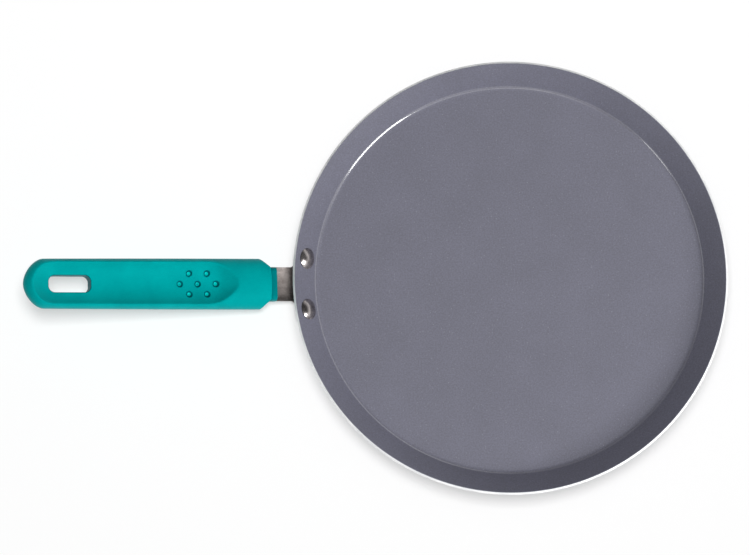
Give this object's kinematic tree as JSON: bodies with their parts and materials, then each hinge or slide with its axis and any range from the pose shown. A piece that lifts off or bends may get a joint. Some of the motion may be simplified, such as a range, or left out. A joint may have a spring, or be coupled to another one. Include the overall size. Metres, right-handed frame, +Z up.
{
  "type": "crepe pan",
  "caption": "Flat round crepe pan with a low sloped wall, grey non-stick coating, riveted steel neck and a turquoise handle with a trough and a hanging slot.",
  "frame": {"origin": "centre of the pan's base, on the surface that the pan stands on", "axes": "+Z up, the handle along -X, +Y to the left of the cook who holds the handle"},
  "size_m": [0.4163, 0.2596, 0.0634],
  "materials": {
    "coated_aluminium": "speckled grey ceramic non-stick coating, bare polished rim, turned bare base",
    "rivet_metal": "polished",
    "bracket_steel": "brushed",
    "handle_plastic": "satin soft-touch",
    "fixing_steel": "bright zinc plated"
  },
  "bodies": {
    "root": {"pan_body": "coated_aluminium", "rivet_left": "rivet_metal", "rivet_right": "rivet_metal", "handle_bracket": "bracket_steel", "handle_collar": "handle_plastic", "handle_grip": "handle_plastic", "handle_screw": "fixing_steel", "lock_washer": "fixing_steel"}
  },
  "joints": []
}
